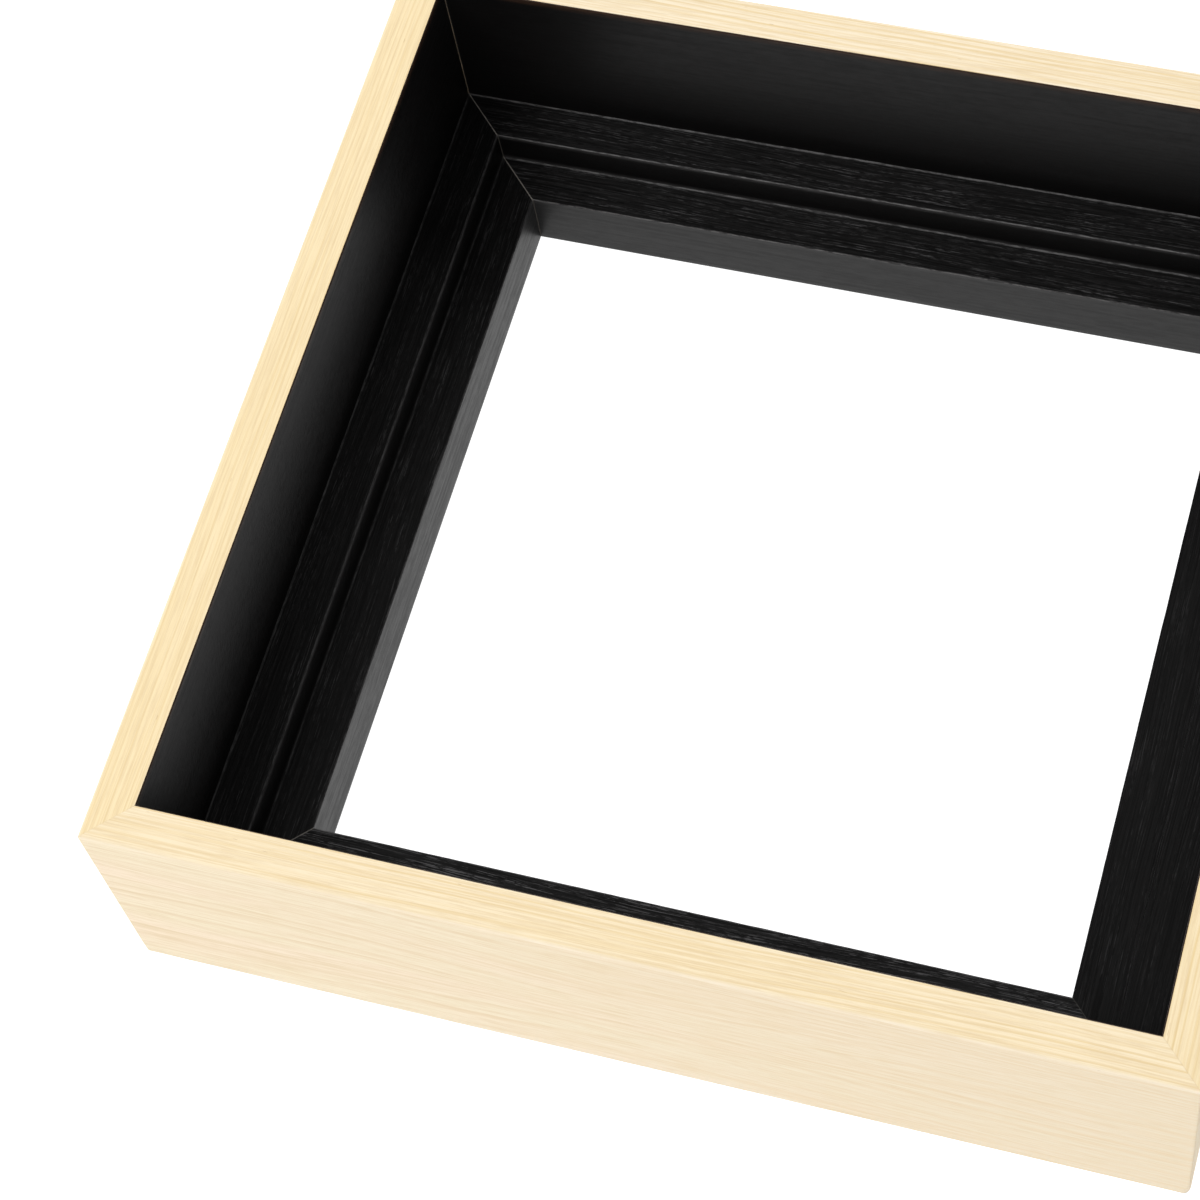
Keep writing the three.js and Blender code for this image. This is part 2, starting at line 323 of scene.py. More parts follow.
def rail(name, side, profile, finishes, node, relief):
    """Sweeps a profile along one side of the frame. relief(along, inset, wear, on_tread) gives
    how far the surface moves out."""
    outline = np.array(profile.points)
    wear_and_glint = np.array(profile.wear_and_glint)
    normals = outward_normals(outline)
    count = len(outline)
    on_tread = np.array([f == "tread" for f in profile.finish]) & (wear_and_glint == 0)

    along = stations(HALF - outline[:, 0] - JOINT_GAP / 2)
    sections = len(along)
    at_seam = np.zeros(sections)
    at_seam[[0, -1]] = SEAM_CHAMFER

    out = relief(along, outline[None, :, 0], wear_and_glint[None, :], on_tread[None, :])
    out = out - at_seam[:, None]
    inset = outline[None, :, 0] + normals[None, :, 0] * out
    height = outline[None, :, 1] + normals[None, :, 1] * out
    limit = HALF - JOINT_GAP / 2 - inset
    along = np.clip(along, -limit, limit)
    along, inset = ease_corners(along, inset, height, side)

    flat = np.stack([along, inset - HALF, height], -1).reshape(-1, 3)
    faces = []
    zones = []
    for s in range(sections - 1):
        for p in range(count):
            q = (p + 1) % count
            faces.append((s * count + p, s * count + q, (s + 1) * count + q, (s + 1) * count + p))
            zones.append(profile.finish[p])
    faces.append(tuple(range(count)))
    faces.append(tuple((sections - 1) * count + p for p in range(count)))
    zones += [profile.finish[0]] * 2

    mesh = bpy.data.meshes.new(name)
    turn = Matrix.Rotation(side * math.pi / 2, 3, "Z")
    mesh.from_pydata((flat * MM) @ np.array(turn).T, [], faces)
    used = sorted(set(zones))
    for zone in used:
        mesh.materials.append(finishes[zone])
    mesh.polygons.foreach_set("material_index", [used.index(z) for z in zones])
    mark_points(mesh, side, along, inset, height, wear_and_glint)
    mark_sharp_edges(mesh)

    made = bpy.data.objects.new(name, mesh)
    bpy.context.scene.collection.objects.link(made)
    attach(made, BODY)
    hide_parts(node)
    return made


def planed(side):
    """The relief of a planed board: almost none."""
    noise = ValueNoise(60 + side)

    def relief(along, inset, wear_and_glint, on_tread):
        return 0.012 * noise(along / 7, inset / 3) - 0.012

    return relief


def raised_grain(side):
    """The relief of a ledge: long raised fibres on the treads and slightly uneven arrises."""
    noise = ValueNoise(80 + side)

    def relief(along, inset, wear_and_glint, on_tread):
        fibres = noise(along / 9, inset / 0.42) + 0.5 * noise(along / 3, inset / 0.27, 8.5)
        uneven = noise(along / 4.5, inset / 3, 20.5) + 0.5 * noise(along / 1.3, inset / 3, 30.5)
        rough = TREAD_RELIEF * min(1, RAISED_GRAIN_AND_GLINT[side] + 0.2)
        return rough * np.where(on_tread, fibres - 0.9, -0.4) + ARRIS_WANDER * wear_and_glint * uneven

    return relief


# ---------------------------------------------------------------- materials


class Nodes:
    """A short way to write a node material that ends in one Principled shader."""

    def __init__(self, name):
        self.material = bpy.data.materials.new(name)
        self.material.use_nodes = True
        self.tree = self.material.node_tree
        self.shader = self.tree.nodes["Principled BSDF"]

    def make(self, kind, **settings):
        node = self.tree.nodes.new(kind)
        for key, value in settings.items():
            setattr(node, key, value)
        return node

    def put(self, socket, value):
        """Sets an input to a constant, or links it to another node's output."""
        if isinstance(value, bpy.types.NodeSocket):
            self.tree.links.new(value, socket)
        else:
            socket.default_value = value

    def attribute(self, name, output="Fac"):
        return self.make("ShaderNodeAttribute", attribute_name=name).outputs[output]

    def math(self, operation, *values, clamp=False):
        node = self.make("ShaderNodeMath", operation=operation, use_clamp=clamp)
        for socket, value in zip(node.inputs, values):
            self.put(socket, value)
        return node.outputs[0]

    def scaled(self, vector, scale, offset=(0, 0, 0)):
        node = self.make("ShaderNodeMapping")
        self.put(node.inputs["Vector"], vector)
        self.put(node.inputs["Scale"], scale)
        self.put(node.inputs["Location"], offset)
        return node.outputs[0]

    def along_rings(self, per_mm, ring, offset=0.0):
        """Texture coordinates that follow the growth rings, stretched along the wood."""
        split = self.make("ShaderNodeSeparateXYZ")
        self.put(split.inputs[0], self.attribute("grain", "Vector"))
        join = self.make("ShaderNodeCombineXYZ")
        self.put(join.inputs["X"], self.math("MULTIPLY", split.outputs["X"], per_mm))
        self.put(join.inputs["Y"], ring)
        self.put(join.inputs["Z"], offset)
        return join.outputs[0]

    def noise(self, vector, detail=3.0, roughness=0.5):
        node = self.make("ShaderNodeTexNoise")
        self.put(node.inputs["Vector"], vector)
        self.put(node.inputs["Scale"], 1.0)
        self.put(node.inputs["Detail"], detail)
        self.put(node.inputs["Roughness"], roughness)
        return node.outputs["Fac"]

    def between(self, value, low, high, to_low=0.0, to_high=1.0):
        """Maps low..high smoothly on to to_low..to_high."""
        node = self.make("ShaderNodeMapRange", interpolation_type="SMOOTHSTEP")
        for socket, number in zip(node.inputs, (value, low, high, to_low, to_high)):
            self.put(socket, number)
        return node.outputs[0]

    def mix(self, share, first, second):
        node = self.make("ShaderNodeMix", data_type="RGBA")
        self.put(node.inputs["Factor"], share)
        self.put(node.inputs["A"], first)
        self.put(node.inputs["B"], second)
        return node.outputs["Result"]

    def bump(self, height, distance_mm, strength=1.0):
        node = self.make("ShaderNodeBump")
        self.put(node.inputs["Height"], height)
        self.put(node.inputs["Distance"], distance_mm * MM)
        self.put(node.inputs["Strength"], strength)
        return node.outputs[0]

    def finish(self, color, roughness, normal=None, **constants):
        self.put(self.shader.inputs["Base Color"], color)
        self.put(self.shader.inputs["Roughness"], roughness)
        if normal is not None:
            self.put(self.shader.inputs["Normal"], normal)
        for key, value in constants.items():
            self.shader.inputs[key.replace("_", " ")].default_value = value
        return self.material


def rgb(red, green, blue):
    return (red, green, blue, 1.0)


def natural_wood():
    """Pale unstained wood: soft growth lines, fine fibres, slow shifts of tint and a few flecks, with
    painted shade at the board ends and along the back edge, and a painted highlight on the front arris.
    """
    n = Nodes("natural_wood")
    grain = n.attribute("grain", "Vector")
    ring = n.attribute("ring")
    lines = n.math("FRACT", ring)
    rise = n.between(lines, 0.45, 0.86)
    fall = n.between(lines, 0.89, 1.0, 1.0, 0.0)
    late = n.math("MULTIPLY", rise, fall)
    own = n.noise(n.along_rings(0.006, n.math("MULTIPLY", n.math("FLOOR", ring), 0.73)), detail=2)
    strength = n.between(own, 0.32, 0.68, 0.05, 0.9)
    streak = n.noise(n.along_rings(0.02, n.math("MULTIPLY", ring, 3.4), 7.5), 4, 0.7)
    tint = n.noise(n.scaled(grain, (0.009, 0.07, 0.07), (50, 3, 9)), detail=2)
    fibre = n.noise(n.scaled(grain, (0.08, 2.6, 2.1)), detail=5, roughness=0.75)
    height = n.attribute("height")
    on_face = n.between(height, FRONT - BACK - 0.35, FRONT - BACK - 0.02)

    side = n.mix(n.between(tint, 0.38, 0.62), rgb(0.92, 0.775, 0.6), rgb(0.9, 0.79, 0.59))
    yellow = n.mix(n.between(tint, 0.38, 0.62), rgb(0.9, 0.745, 0.475), rgb(0.885, 0.73, 0.455))
    face = n.mix(n.attribute("tone"), yellow, rgb(0.9, 0.785, 0.59))
    # painted shade: the outer side is painted darker towards one end of each board
    side = n.mix(n.attribute("end_shade"), side, rgb(0.82, 0.71, 0.54))
    early = n.mix(on_face, side, face)
    line_color = n.mix(on_face, rgb(0.8, 0.645, 0.43), rgb(0.79, 0.605, 0.315))
    # painted highlight: the front outer arris is painted paler
    front_arris_highlight = n.between(n.attribute("inset"), 0.1, 0.9, 0.4, 0.0)
    front_arris_highlight = n.math("MULTIPLY", front_arris_highlight, n.between(height, FRONT - BACK - 1.0, FRONT - BACK - 0.4))
    color = n.mix(n.math("MULTIPLY", late, strength), early, line_color)
    color = n.mix(n.between(streak, 0.47, 0.66, 0.0, 0.6), color, line_color)
    color = n.mix(n.between(fibre, 0.42, 0.66, 0.0, 0.55), color, rgb(0.72, 0.55, 0.32))
    color = n.mix(front_arris_highlight, color, rgb(0.93, 0.83, 0.68))
    fleck = n.noise(n.scaled(grain, (0.3, 2.6, 2.6), (7, 7, 7)), detail=1)
    color = n.mix(n.between(fleck, 0.79, 0.84, 0.0, 0.5), color, rgb(0.42, 0.25, 0.11))
    # painted shade: the lowest part of the outer side and the back's outer edge are painted grey
    back_edge_shade = n.between(n.attribute("inset"), 0.5, 1.7, 1.0, 0.0)
    back_edge_shade = n.math("MULTIPLY", back_edge_shade, n.between(height, 0.85, 1.6, 0.85, 0.0))
    color = n.mix(back_edge_shade, color, rgb(0.5, 0.48, 0.42))
    open_seam = n.math("SUBTRACT", 1.0, n.attribute("filled"))
    seam = n.math("MULTIPLY", n.between(n.attribute("seam"), 0.02, 0.14, 0.2, 0.0), open_seam)
    color = n.mix(seam, color, rgb(0.5, 0.35, 0.2))

    relief = n.math("ADD", n.math("MULTIPLY", late, 0.4), fibre)
    roughness = n.between(fibre, 0.2, 0.8, 0.54, 0.7)
    return n.finish(color, roughness, n.bump(relief, 0.03, 0.5), Specular_IOR_Level=0.25)


def light_seam(n, color, seam_color):
    """The hairline of filler at a mitre in black wood."""
    near = n.between(n.attribute("seam"), 0.04, 0.18, 0.85, 0.0)
    return n.mix(n.math("MULTIPLY", near, n.attribute("filled")), color, seam_color)


def black_paint(name, dark, light, rubbed_and_lit_color, gloss, specular):
    """Black stain, satin, with faint streaks along the wood. gloss is low and high roughness."""
    n = Nodes(name)
    grain = n.attribute("grain", "Vector")
    streak = n.noise(n.scaled(grain, (0.03, 1.2, 1.2)), detail=4, roughness=0.6)
    blotch = n.noise(n.scaled(grain, (0.3, 1.3, 1.3), (2, 6, 5)), detail=5, roughness=0.7)
    fibre = n.noise(n.scaled(grain, (0.25, 7.0, 7.0)), detail=3)
    mottle = n.math("MULTIPLY", n.math("ADD", streak, blotch), 0.5)
    color = n.mix(mottle, dark, light)
    # the arrises are painted lighter: thin stain on the wall's arris, and on the ledge a painted
    # highlight, partly rubbing
    rubbed_and_lit = n.math("MULTIPLY", n.attribute("wear_and_glint"), n.between(fibre, 0.35, 0.7, 0.3, 1.0))
    color = light_seam(n, n.mix(rubbed_and_lit, color, rubbed_and_lit_color), rgb(0.13, 0.12, 0.105))
    relief = n.math("ADD", mottle, n.math("MULTIPLY", fibre, 0.5))
    roughness = n.between(mottle, 0.36, 0.64, gloss[1], gloss[0])
    return n.finish(color, roughness, n.bump(relief, 0.03, 0.4), Specular_IOR_Level=specular)


def rough_black():
    """Black stain on unsanded wood: fine lines with the growth rings, raised fibres painted pale grey
    as a painted highlight, and arrises painted light grey, partly rubbed, partly a painted highlight."""
    n = Nodes("rough_black")
    grain = n.attribute("grain", "Vector")
    ring = n.attribute("ring")
    lines = n.noise(n.along_rings(0.02, n.math("MULTIPLY", ring, 3.2)), detail=4, roughness=0.6)
    fibres = n.noise(n.along_rings(0.05, n.math("MULTIPLY", ring, 5.0), 3.0), 3, 0.6)
    breaks = n.noise(n.scaled(grain, (0.45, 3.0, 3.0), (3, 1, 4)), detail=3, roughness=0.6)
    patch = n.noise(n.scaled(grain, (0.05, 0.4, 0.4), (8, 8, 2)), detail=2)
    # painted highlight: raised fibres are painted pale grey, more strongly on some sides than others
    raised = n.math("MULTIPLY", n.between(fibres, 0.48, 0.7), n.between(breaks, 0.4, 0.6))
    raised = n.math("MULTIPLY", raised, n.between(patch, 0.35, 0.65, 0.25, 1.0))
    raised = n.math("MULTIPLY", raised, n.attribute("raised"), clamp=True)
    dark, light = rgb(0.001, 0.0009, 0.0009), rgb(0.0048, 0.0044, 0.0044)
    contrast = n.between(n.attribute("raised"), 0.0, 1.0, 0.5, 1.0)
    color = n.mix(n.math("MULTIPLY", n.between(lines, 0.38, 0.62), contrast), dark, light)
    color = n.mix(raised, color, rgb(0.085, 0.083, 0.085))
    # painted highlight: tread edges and beads are painted light grey, partly as rubbing
    rubbed_and_lit = n.math("MULTIPLY", n.attribute("wear_and_glint"), n.between(breaks, 0.38, 0.6, 0.25, 0.9))
    rubbed_and_lit = n.math("MULTIPLY", rubbed_and_lit, n.attribute("bare_and_glint"), clamp=True)
    color = light_seam(n, n.mix(rubbed_and_lit, color, rgb(0.13, 0.127, 0.127)), rgb(0.3, 0.28, 0.25))
    relief = n.math("ADD", lines, n.math("MULTIPLY", fibres, 0.7))
    roughness = n.between(lines, 0.3, 0.7, 0.75, 0.5)
    return n.finish(color, roughness, n.bump(relief, 0.12, 0.9), Specular_IOR_Level=0.125)


def object_coordinates(n, per_mm):
    node = n.make("ShaderNodeTexCoord")
    return n.scaled(node.outputs["Object"], tuple(c / MM for c in per_mm))


def plated_steel():
    """Bright nickel plate with fine brush marks and slight stains."""
    n = Nodes("plated_steel")
    brush = n.noise(object_coordinates(n, (9.0, 0.6, 9.0)), detail=3, roughness=0.6)
    stain = n.noise(object_coordinates(n, (0.35, 0.35, 0.35)), detail=3)
    color = n.mix(n.between(stain, 0.35, 0.7), rgb(0.72, 0.71, 0.68), rgb(0.56, 0.54, 0.5))
    roughness = n.between(brush, 0.3, 0.7, 0.24, 0.4)
    return n.finish(color, roughness, n.bump(brush, 0.01, 0.35), Metallic=1.0)


def zinc_steel():
    """Zinc plate on a screw, with a little yellow in it."""
    n = Nodes("zinc_steel")
    mottle = n.noise(object_coordinates(n, (0.8, 0.8, 0.8)), detail=3)
    color = n.mix(n.between(mottle, 0.35, 0.65), rgb(0.7, 0.69, 0.63), rgb(0.64, 0.61, 0.51))
    roughness = n.between(mottle, 0.3, 0.7, 0.28, 0.38)
    return n.finish(color, roughness, n.bump(mottle, 0.005, 0.2), Metallic=1.0)


def spring_steel():
    """Dull grey strip steel, as cut."""
    n = Nodes("spring_steel")
    mark = n.noise(object_coordinates(n, (4.0, 4.0, 0.5)), detail=3)
    color = n.mix(n.between(mark, 0.35, 0.65), rgb(0.34, 0.35, 0.37), rgb(0.5, 0.51, 0.53))
    return n.finish(color, n.between(mark, 0.3, 0.7, 0.35, 0.55), Metallic=1.0)


def moulded_rubber():
    """Dark matt rubber with a fine moulded texture and a little dust."""
    n = Nodes("moulded_rubber")
    texture = n.noise(object_coordinates(n, (3.5, 3.5, 3.5)), detail=4, roughness=0.65)
    dust = n.noise(object_coordinates(n, (0.4, 0.4, 0.4)), detail=3)
    color = n.mix(n.between(dust, 0.45, 0.7, 0.0, 0.5), rgb(0.022, 0.022, 0.023), rgb(0.06, 0.058, 0.055))
    roughness = n.between(texture, 0.3, 0.7, 0.7, 0.9)
    return n.finish(color, roughness, n.bump(texture, 0.05, 0.4), Specular_IOR_Level=0.35)


def white_table():
    """The table: white, and bright enough to hide all but the nearest of its shadows."""
    n = Nodes("white_table")
    speck = n.noise(object_coordinates(n, (0.02, 0.02, 0.02)), detail=2)
    color = n.mix(speck, rgb(0.19, 0.19, 0.19), rgb(0.21, 0.21, 0.21))
    n.shader.inputs["Emission Color"].default_value = rgb(1, 1, 1)
    return n.finish(color, 0.9, Emission_Strength=1.07, Specular_IOR_Level=0.0)


# ---------------------------------------------------------------- camera, light and table

# Where the camera stands, what it looks at on the face's plane, and its tilt
CAMERA_AT = Vector((132.5, -331.6, 675.4)) * MM
CAMERA_AIM = Vector((-20.3, -56.5, 67.8)) * MM
CAMERA_ROLL = math.radians(-14.46)
CAMERA_LENS = 101.4
CAMERA_SHIFT = 1 / 15


def make_camera():
    data = bpy.data.cameras.new("camera")
    data.sensor_width = 36.0
    data.lens = CAMERA_LENS
    data.shift_y = CAMERA_SHIFT
    camera = bpy.data.objects.new("camera", data)
    bpy.context.scene.collection.objects.link(camera)
    upright = (CAMERA_AIM - CAMERA_AT).to_track_quat("-Z", "Y").to_matrix()
    camera.matrix_world = Matrix.Translation(CAMERA_AT) @ (
        upright @ Matrix.Rotation(CAMERA_ROLL, 3, "Z")
    ).to_4x4()
    bpy.context.scene.camera = camera


def area_light(name, azimuth, elevation, distance, size, power):
    """A square soft box aimed at the frame. Azimuth 0 is in front, and 90 on the right."""
    data = bpy.data.lights.new(name, "AREA")
    data.size = size
    data.energy = power
    light = bpy.data.objects.new(name, data)
    bpy.context.scene.collection.objects.link(light)
    a, e = math.radians(azimuth), math.radians(elevation)
    light.location = distance * Vector(
        (math.sin(a) * math.cos(e), -math.cos(a) * math.cos(e), math.sin(e))
    )
    light.rotation_euler = (-light.location).to_track_quat("-Z", "Y").to_euler()


def make_studio():
    world = bpy.data.worlds.new("studio")
    world.use_nodes = True
    world.node_tree.nodes["Background"].inputs["Color"].default_value = (1, 1, 1, 1)
    world.node_tree.nodes["Background"].inputs["Strength"].default_value = 0.3
    scene = bpy.context.scene
    scene.world = world
    scene.view_settings.view_transform = "Standard"
    scene.view_settings.look = "None"
    area_light("key", -60, 58, 4.0, 2.2, 112)
    area_light("front", 12, 30, 4.0, 2.2, 26)
    area_light("back", 180, 30, 4.0, 2.2, 66)

    mesh = bpy.data.meshes.new("table")
    reach = 6.0
    corners = [(-reach, -reach, 0), (reach, -reach, 0), (reach, reach, 0), (-reach, reach, 0)]
    mesh.from_pydata(corners, [], [(0, 1, 2, 3)])
    mesh.materials.append(white_table())
    table = bpy.data.objects.new("table", mesh)
    bpy.context.scene.collection.objects.link(table)


# ---------------------------------------------------------------- hardware


def place(mesh, name, body, node, material_slot, material):
    """Puts a finished mesh in the scene in place of a CAD node."""
    mesh.name = name
    mesh.materials.clear()
    mesh.materials.append(material)
    mark_sharp_edges(mesh)
    made = bpy.data.objects.new(name, mesh)
    bpy.context.scene.collection.objects.link(made)
    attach(made, body)
    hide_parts(node)
    return made


def grid_mesh(rows, closed_rows=True):
    """A skin over rows of points, each row a loop. Where the rows don't close on themselves,
    the first and last are capped with one face each."""
    rows = np.asarray(rows, float)
    count, width = rows.shape[:2]
    faces = []
    for i in range(count if closed_rows else count - 1):
        for j in range(width):
            k, m = (i + 1) % count, (j + 1) % width
            faces.append((i * width + j, i * width + m, k * width + m, k * width + j))
    if not closed_rows:
        faces.append(tuple(range(width)))
        faces.append(tuple((count - 1) * width + j for j in range(width)))
    mesh = bpy.data.meshes.new("grid")
    mesh.from_pydata(rows.reshape(-1, 3) * MM, [], faces)
    return mesh


def lathe_mesh(outline, segments=64):
    """Turns (radius, height) points, in millimetres, about Z. The ends close on the axis."""
    angles = np.linspace(0, 2 * math.pi, segments, endpoint=False)
    ring = np.stack([np.cos(angles), np.sin(angles)], 1)
    rows = [np.column_stack([ring * r, np.full(segments, z)]) for r, z in outline]
    return grid_mesh(rows, closed_rows=False)


def moved(mesh, offset_mm):
    mesh.transform(Matrix.Translation(Vector(offset_mm) * MM))
    return mesh


def middle_and_size(node):
    """The middle and size of a CAD node's box, in millimetres."""
    low, high = (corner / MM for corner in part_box(node))
    return (low + high) / 2, high - low


BUMPER_FOOT = 4.2
BUMPER_EASE = 0.35
BUMPER_DISH = [(0.01, 0.25), (1.6, 0.2), (2.6, 0.05), (3.0, 0.0)]
# The rest of a bumper's outline, as shares of its radius and height
BUMPER_SHOULDER = [(0.83, 0.2), (0.9, 0.34), (0.945, 0.55), (0.955, 0.8), (0.965, 0.86)]
BUMPER_FLANGE = [(0.99, 0.87), (1.0, 0.9), (1.0, 0.98), (0.99, 1.0), (0.002, 1.0)]


def bumper(corner, material):
    """A rubber bumper: a dished foot, a soft shoulder and a thin moulded flange."""
    node = f"bumper_{corner}"
    middle, size = middle_and_size(node)
    outline = BUMPER_DISH + [(BUMPER_FOOT - 0.5, 0.0)]
    outline += arc((BUMPER_FOOT - 0.2, BUMPER_EASE), BUMPER_EASE, 285, 330, 3)
    for radius, height in BUMPER_SHOULDER + BUMPER_FLANGE:
        outline.append((radius * size.x / 2, height * size.z))
    mesh = moved(lathe_mesh(outline), (middle.x, middle.y, middle.z - size.z / 2))
    place(mesh, f"rubber_bumper_{corner}", BODY, node, "bumper_rubber", material)


NAIL_THICKNESS = 0.6
NAIL_PROUD = 0.05
NAIL_CURL = 0.12
NAIL_CURL_LENGTH = 0.6
NAIL_BEND = 0.35  # how far from the apex each leg turns straight
NAIL_BEND_MIDDLE = 0.1
# Heights from the driven end, and how much thinner the strip is there
NAIL_ENDS = ((-NAIL_PROUD, 0.06), (0.1, 0.0))
NAIL_POINT = ((-0.8, 0.0), (0.0, 0.2))


def v_nail(node, material):
    """A v-nail pressed in a little short of flush, with a small curl at each free edge."""
    middle, size = middle_and_size(node)
    leg = size.x
    half = NAIL_THICKNESS / 2
    toward = Vector((-math.copysign(1, middle.x), -math.copysign(1, middle.y)))
    apex = middle.xy - toward * leg / 2
    curl_top, curl_foot = leg - NAIL_CURL_LENGTH, leg - 2 * NAIL_CURL_LENGTH
    one_leg = [(leg - half, 0.0), (curl_top, NAIL_CURL), (curl_foot, 0.0), (NAIL_BEND, 0.0)]
    bend = [(NAIL_BEND_MIDDLE, NAIL_BEND_MIDDLE)]
    other_leg = [(y, x) for x, y in reversed(one_leg)]
    line = np.array(one_leg + bend + other_leg)
    along = np.gradient(line, axis=0)
    along /= np.linalg.norm(along, axis=1)[:, None]
    across = np.stack([-along[:, 1], along[:, 0]], 1)
    bottom, top = middle.z - size.z / 2, middle.z + size.z / 2
    levels = [(bottom + z, trim) for z, trim in NAIL_ENDS]
    levels += [(top + z, trim) for z, trim in NAIL_POINT]
    rows = []
    for z, trim in levels:
        offset = across * (half - trim)
        loop = np.concatenate([line + half + offset, (line + half - offset)[::-1]])
        place_xy = np.array(apex) + loop * np.array(toward)
        rows.append(np.column_stack([place_xy, np.full(len(loop), z)]))
    mesh = grid_mesh(rows, closed_rows=False)
    place(mesh, node.replace("v_nail", "pressed_nail"), BODY, node, "nail_steel", material)


STRAP_THICKNESS = 0.8
STRAP_EDGE = 0.16
STRAP_TIP = 0.15
EYE_TURN = 250


def hanger_axis(side):
    """Where a ring's bar turns, in millimetres."""
    joint = next(j for j in frame["joints"] if j["name"] == f"{side}_ring_swing")
    return Vector(joint["pos_m"]) / MM


def strap_stations(tail, radius, half_width):
    """Along a strap, from its round tail to the end of its eye: the middle of the plate as
    (y, z) from the eye's axis, the way out of it, and its half width."""
    straight = tail - half_width
    found = []
    for t in np.linspace(1, 0, 18):
        reach = half_width * math.sin(t * math.pi / 2)
        width = math.sqrt(max(half_width**2 - reach**2, STRAP_TIP**2))
        found.append((np.array([-straight - reach, radius]), np.array([0.0, 1.0]), width))
    for t in (0.66, 0.33):
        found.append((np.array([-straight * t, radius]), np.array([0.0, 1.0]), half_width))
    for angle in np.radians(np.linspace(90, 90 - EYE_TURN, 40)):
        out = np.array([math.cos(angle), math.sin(angle)])
        found.append((out * radius, out, half_width))
    return found


def strap(side, material):
    """A bent plate with a round tail and an eye curled round the ring's bar."""
    node = f"{side}_hanger_strap"
    middle, size = middle_and_size(node)
    axis = hanger_axis(side)
    tail = axis.y - (middle.y - size.y / 2)
    half_thick = STRAP_THICKNESS / 2
    rows = []
    for centre, out, half_width in strap_stations(tail, LEDGE_BACK - axis.z - half_thick, size.x / 2):
        edge = STRAP_EDGE if half_width > STRAP_EDGE else 0.0
        row = []
        for right, up, start in ((1, 1, 0), (-1, 1, 90), (-1, -1, 180), (1, -1, 270)):
            for a in np.radians(np.linspace(start, start + 90, 4)):
                x = right * (half_width - edge) + edge * math.cos(a)
                y, z = centre + out * (up * (half_thick - STRAP_EDGE) + STRAP_EDGE * math.sin(a))
                row.append((axis.x + x, axis.y + y, axis.z + z))
        rows.append(row)
    mesh = grid_mesh(rows, closed_rows=False)
    place(mesh, f"{side}_strap_plate", BODY, node, "plated_steel", material)


WIRE_RADIUS = 0.8
WIRE_SEGMENTS = 16
RING_CORNER = 1.8


def ring_line(half_width, reach):
    """The middle of a ring's wire, flat: a straight bar through (0, 0) and a bow beyond it."""
    bar = half_width - RING_CORNER
    line = [(x, 0.0) for x in np.linspace(-bar, bar, 16)]
    line += arc((bar, RING_CORNER), RING_CORNER, -90, 0, 8)[1:]
    for x, y in arc((0, 0), 1, 0, 180, 56)[1:]:
        line.append((half_width * x, RING_CORNER + (reach - RING_CORNER) * y))
    line += arc((-bar, RING_CORNER), RING_CORNER, 180, 270, 8)[1:-1]
    return np.array(line)


def ring(side, material):
    """A bent wire ring: a straight bar in the strap's eye and a round bow that droops."""
    node = f"{side}_hanger_ring"
    middle, size = middle_and_size(node)
    axis = hanger_axis(side)
    out = middle.y + size.y / 2 - WIRE_RADIUS - axis.y
    down = axis.z - (middle.z - size.z / 2) - WIRE_RADIUS
    droop = math.atan2(down, out)
    line = ring_line(size.x / 2 - WIRE_RADIUS, math.hypot(out, down))
    along = np.roll(line, -1, 0) - np.roll(line, 1, 0)
    along /= np.linalg.norm(along, axis=1)[:, None]
    across = np.stack([along[:, 1], -along[:, 0]], 1)
    rows = []
    for point, side_way in zip(line, across):
        row = []
        for a in np.linspace(0, 2 * math.pi, WIRE_SEGMENTS, endpoint=False):
            x, y = point + side_way * WIRE_RADIUS * math.cos(a)
            z = WIRE_RADIUS * math.sin(a)
            y_drooped = y * math.cos(droop) + z * math.sin(droop)
            z_drooped = z * math.cos(droop) - y * math.sin(droop)
            row.append((axis.x + x, axis.y + y_drooped, axis.z + z_drooped))
        rows.append(row)
    mesh = grid_mesh(rows)
    place(mesh, f"{side}_d_ring", f"{side}_ring", node, "plated_steel", material)


SCREW_HEAD = 1.5
SCREW_SEGMENTS = 96
HEAD_RIM = ((1.0, -0.4), (1.0, -0.05), (0.97, 0.0), (0.5, 0.0))  # (share of radius, height)
SCREW_MAJOR = 1.3
SCREW_MINOR = 0.95
SCREW_PITCH = 0.9
SCREW_TIP = 1.8
THREAD_START = 0.6
THREAD_STEP = 0.09
THREAD_SHARPNESS = 3.4
HEAD_ROWS = 36
RECESS_ARM = 1.5
RECESS_WIDTH = 0.34
RECESS_WALL = 0.12
RECESS_DEPTH = 1.0


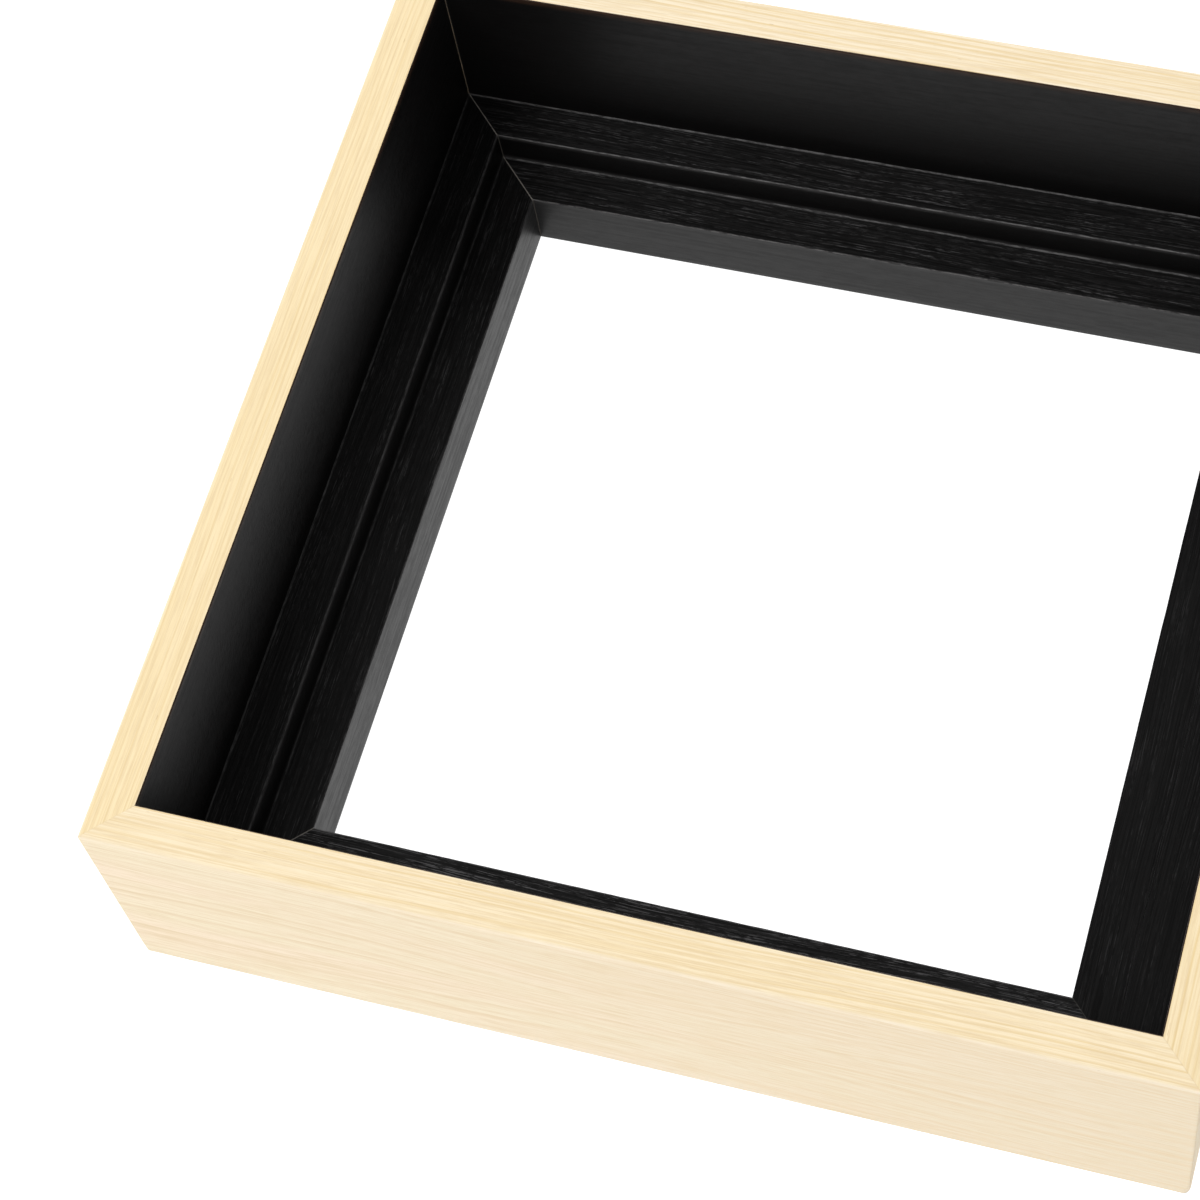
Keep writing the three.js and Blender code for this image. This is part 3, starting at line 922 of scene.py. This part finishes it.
def screw(side, material):
    """A pan head wood screw with a cross recess and a real helical thread."""
    node = f"{side}_hanger_screw"
    middle, size = middle_and_size(node)
    head_radius = size.y / 2
    angles = np.linspace(0, 2 * math.pi, SCREW_SEGMENTS, endpoint=False)
    turn = np.stack([np.cos(angles), np.sin(angles)], 1)

    def level(radius, height):
        return np.column_stack([turn * np.reshape(radius, (-1, 1)), height + 0 * angles])

    rows = []
    # the recess is pressed into the dome wherever either of its arms covers a point
    for share in np.linspace(0.02, 0.985, HEAD_ROWS):
        radius = share * head_radius
        dome = SCREW_HEAD * (1 - 0.55 * share**4 - 0.1 * share**2)
        x, y = np.abs(turn.T * radius)
        along_x = np.clip((RECESS_WIDTH - y) / RECESS_WALL, 0, 1) * (x < RECESS_ARM)
        along_y = np.clip((RECESS_WIDTH - x) / RECESS_WALL, 0, 1) * (y < RECESS_ARM)
        depth = RECESS_DEPTH * (1 - 0.35 * min(radius / RECESS_ARM, 1))
        rows.append(level(radius, np.maximum(along_x, along_y) * depth - dome))
    rows += [level(share * head_radius, height) for share, height in HEAD_RIM]
    length = size.z - SCREW_HEAD
    for z in np.arange(0.1, length, THREAD_STEP):
        phase = (z / SCREW_PITCH - angles / (2 * math.pi)) % 1
        crest = np.clip(1 - np.abs(phase - 0.5) * THREAD_SHARPNESS, 0, 1) * min(1, z / THREAD_START)
        taper = min(1.0, (length - z) / SCREW_TIP)
        rows.append(level((SCREW_MINOR + (SCREW_MAJOR - SCREW_MINOR) * crest) * taper, z))
    head_foot = middle.z - size.z / 2 + SCREW_HEAD
    mesh = moved(grid_mesh(rows, closed_rows=False), (middle.x, middle.y, head_foot))
    place(mesh, f"{side}_pan_head_screw", BODY, node, "screw_steel", material)


# ---------------------------------------------------------------- the object


def make_frame():
    # brown is the thin stain on the wall's arris; grey is a painted highlight, partly rubbing, on the
    # ledge's arrises
    brown, grey = rgb(0.045, 0.022, 0.012), rgb(0.06, 0.058, 0.058)
    satin = (0.36, 0.5)
    ebony, soot = rgb(0.0018, 0.0015, 0.0015), rgb(0.0047, 0.0042, 0.0042)
    lip_dark, lip_light = rgb(0.0, 0.0, 0.0), rgb(0.0105, 0.01, 0.01)
    back_dark, back_light = rgb(0.01, 0.0095, 0.009), rgb(0.03, 0.028, 0.026)
    finishes = {
        "natural": natural_wood(),
        "wall": black_paint("wall_black", ebony, soot, brown, satin, 0.155),
        "riser": black_paint("riser_black", ebony, soot, grey, satin, 0.18),
        "lip": black_paint("lip_black", lip_dark, lip_light, grey, satin, 0.2),
        "tread": rough_black(),
        "behind": black_paint("back_black", back_dark, back_light, grey, (0.55, 0.7), 0.3),
    }
    wall, ledge = wall_profile(), ledge_profile()
    for side, label in enumerate(SIDES):
        rail(
            f"{label}_wall_board", side, wall, finishes,
            f"{label}_wall_rail", planed(side),
        )
        rail(
            f"{label}_ledge_strip", side, ledge, finishes,
            f"{label}_step_ledge", raised_grain(side),
        )


def make_hardware():
    steel, plate, zinc, rubber = spring_steel(), plated_steel(), zinc_steel(), moulded_rubber()
    for corner in CORNERS:
        bumper(corner, rubber)
        for spot in ("outer", "middle", "inner"):
            v_nail(f"v_nail_{corner}_{spot}", steel)
    for side in ("left", "right"):
        strap(side, plate)
        ring(side, plate)
        screw(side, zinc)


make_camera()
make_studio()
make_frame()
make_hardware()
